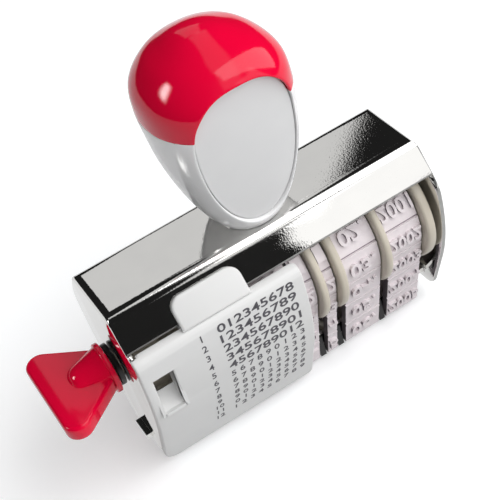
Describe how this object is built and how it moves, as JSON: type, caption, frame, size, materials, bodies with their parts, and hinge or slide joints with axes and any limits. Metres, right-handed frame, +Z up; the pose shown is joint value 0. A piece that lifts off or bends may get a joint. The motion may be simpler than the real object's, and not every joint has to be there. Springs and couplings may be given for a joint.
{
  "type": "phrase date stamp",
  "caption": "Hand stamp with a sheet metal frame, a pear-shaped handle, a wing knob for its phrase band and thumb wheels for its date bands.",
  "frame": {"origin": "on the paper, under the middle of the frame", "axes": "+X along the frame away from the wing knob, +Y to the back, away from the phrase cover, +Z up"},
  "size_m": [0.0993, 0.0355, 0.0994],
  "materials": {
    "chrome": "mirror bright",
    "steel": "plain",
    "red_plastic": "high gloss",
    "grey_plastic": "gloss",
    "white_plastic": "satin",
    "beige_plastic": "satin",
    "black_plastic": "satin",
    "band_rubber": "matte"
  },
  "bodies": {
    "frame": {"frame_bracket": "chrome", "handle_body": "grey_plastic", "handle_cap": "red_plastic", "handle_badge": "grey_plastic", "handle_screw": "steel", "handle_washer": "steel", "axle": "steel", "knob_washer": "black_plastic", "phrase_band": "band_rubber", "tens_band": "band_rubber", "units_band": "band_rubber", "month_band": "band_rubber", "year_band": "band_rubber", "spring_washer": "steel", "platen_bridge": "chrome", "platen_comb": "black_plastic", "phrase_cover": "white_plastic"},
    "phrase_drive": {"wing_knob": "red_plastic", "phrase_wheel": "beige_plastic", "index_drum": "beige_plastic"},
    "tens_drive": {"tens_wheel": "beige_plastic"},
    "units_drive": {"units_wheel": "beige_plastic"},
    "month_drive": {"month_wheel": "beige_plastic"},
    "year_drive": {"year_wheel": "beige_plastic"}
  },
  "joints": [
    {"name": "phrase_turn", "type": "hinge", "parent": "frame", "child": "phrase_drive", "pos_m": [-0.04, 0, 0.0313], "axis": [1, 0, 0], "continuous": true},
    {"name": "tens_turn", "type": "hinge", "parent": "frame", "child": "tens_drive", "pos_m": [0.0045, 0, 0.0313], "axis": [1, 0, 0], "continuous": true},
    {"name": "units_turn", "type": "hinge", "parent": "frame", "child": "units_drive", "pos_m": [0.0104, 0, 0.0313], "axis": [1, 0, 0], "continuous": true},
    {"name": "month_turn", "type": "hinge", "parent": "frame", "child": "month_drive", "pos_m": [0.0192, 0, 0.0313], "axis": [1, 0, 0], "continuous": true},
    {"name": "year_turn", "type": "hinge", "parent": "frame", "child": "year_drive", "pos_m": [0.0315, 0, 0.0313], "axis": [1, 0, 0], "continuous": true}
  ]
}
